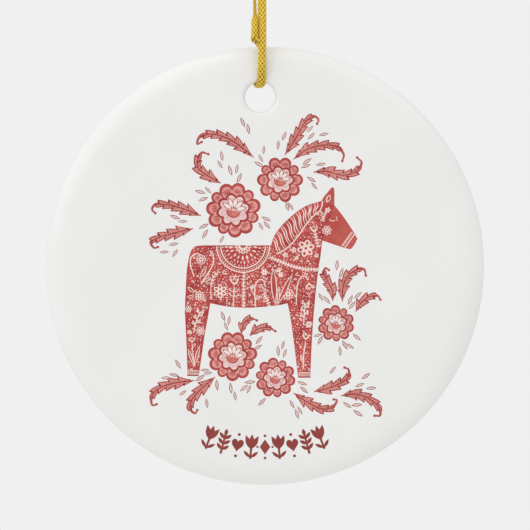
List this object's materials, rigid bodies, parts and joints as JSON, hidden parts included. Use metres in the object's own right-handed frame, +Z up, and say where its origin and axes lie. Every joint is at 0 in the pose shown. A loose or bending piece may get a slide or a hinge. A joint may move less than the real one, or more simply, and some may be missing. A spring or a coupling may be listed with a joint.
{
  "type": "porcelain hanging ornament",
  "caption": "Flat round glazed porcelain ornament printed with a folk horse, hanging from a knotted loop of braided gold cord.",
  "frame": {"origin": "the inside of the cord loop's top bight, where a hook carries it", "axes": "+Z up, against the way the ornament hangs; -Y out of the decorated face; +X to the right of someone facing it"},
  "size_m": [0.073, 0.0091, 0.1378],
  "materials": {
    "glazed_porcelain": "glossy clear glaze over white porcelain, with a red transfer print fused into it on the front",
    "gold_braid": "round braid of metallised yarn, satin gold"
  },
  "bodies": {
    "hook bight": {"cord_top_bight": "gold_braid"},
    "upper strands": {"cord_neck_front": "gold_braid", "cord_neck_rear": "gold_braid", "cord_upper_front": "gold_braid", "cord_upper_rear": "gold_braid"},
    "lower loop": {"cord_lower_front": "gold_braid", "cord_knot": "gold_braid", "cord_knot_to_hole": "gold_braid", "cord_hole_turn": "gold_braid", "cord_lower_rear": "gold_braid", "cord_tail_long": "gold_braid", "cord_tail_short": "gold_braid"},
    "disc": {"porcelain_disc": "glazed_porcelain"}
  },
  "joints": [
    {"name": "sway", "type": "hinge", "parent": "hook bight", "child": "upper strands", "pos_m": [0, 0, -0.002], "axis": [1, 0, 0], "range_deg": [-35, 35], "deforming": ["cord_neck_front", "cord_neck_rear"]},
    {"name": "twist", "type": "hinge", "parent": "upper strands", "child": "lower loop", "pos_m": [0, 0, -0.028], "axis": [0, 0, 1], "range_deg": [-180, 180], "stiffness_Nm_per_rad": 0.000033},
    {"name": "rock", "type": "hinge", "parent": "lower loop", "child": "disc", "pos_m": [-0.0004, 0, -0.07195], "axis": [0, 1, 0], "range_deg": [-60, 60]}
  ]
}
